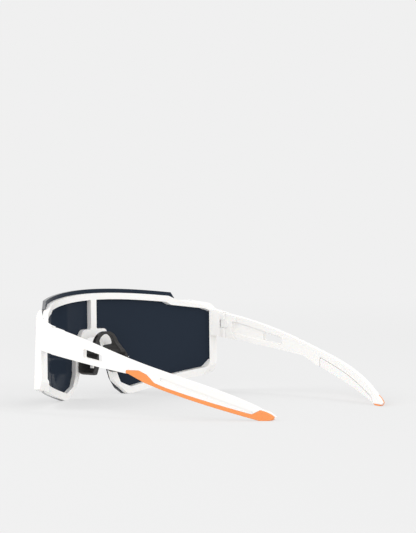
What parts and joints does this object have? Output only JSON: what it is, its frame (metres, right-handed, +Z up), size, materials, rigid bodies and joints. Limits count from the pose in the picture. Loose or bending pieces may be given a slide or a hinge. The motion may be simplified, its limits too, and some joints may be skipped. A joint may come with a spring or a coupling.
{
  "type": "wraparound sport sunglasses",
  "caption": "Wraparound sport sunglasses: one-piece dark shield lens in a white full-rim frame, folding temples with coral rubber grips, black saddle nose pad.",
  "frame": {"origin": "on the surface the glasses stand on, under the middle of their overall box with the temples open", "axes": "+Z up; the lens faces -Y and the temples run back to +Y; +X is towards the wearer's left; the mirror plane is X = 0"},
  "size_m": [0.1456, 0.163, 0.0574],
  "materials": {
    "white_plastic": "satin white nylon moulding",
    "dark_lens": "glossy dark blue-grey polycarbonate",
    "black_rubber": "matt black soft rubber",
    "coral_rubber": "matt coral-orange soft rubber",
    "white_rubber": "matt white soft rubber",
    "screw_steel": "plain stainless steel"
  },
  "bodies": {
    "front": {"front_frame": "white_plastic", "shield_lens": "dark_lens", "nose_saddle": "black_rubber", "hinge_screw_left": "screw_steel", "hinge_screw_right": "screw_steel"},
    "left_arm": {"temple_left": "white_plastic", "ear_grip_left": "coral_rubber", "ear_pad_left": "white_rubber"},
    "right_arm": {"temple_right": "white_plastic", "ear_grip_right": "coral_rubber", "ear_pad_right": "white_rubber"}
  },
  "joints": [
    {"name": "temple_left_fold", "type": "hinge", "parent": "front", "child": "left_arm", "pos_m": [0.0679, -0.04275, 0.0365], "axis": [0, 0, 1], "range_deg": [0, 80]},
    {"name": "temple_right_fold", "type": "hinge", "parent": "front", "child": "right_arm", "pos_m": [-0.0679, -0.04275, 0.0365], "axis": [0, 0, -1], "range_deg": [0, 76]}
  ]
}
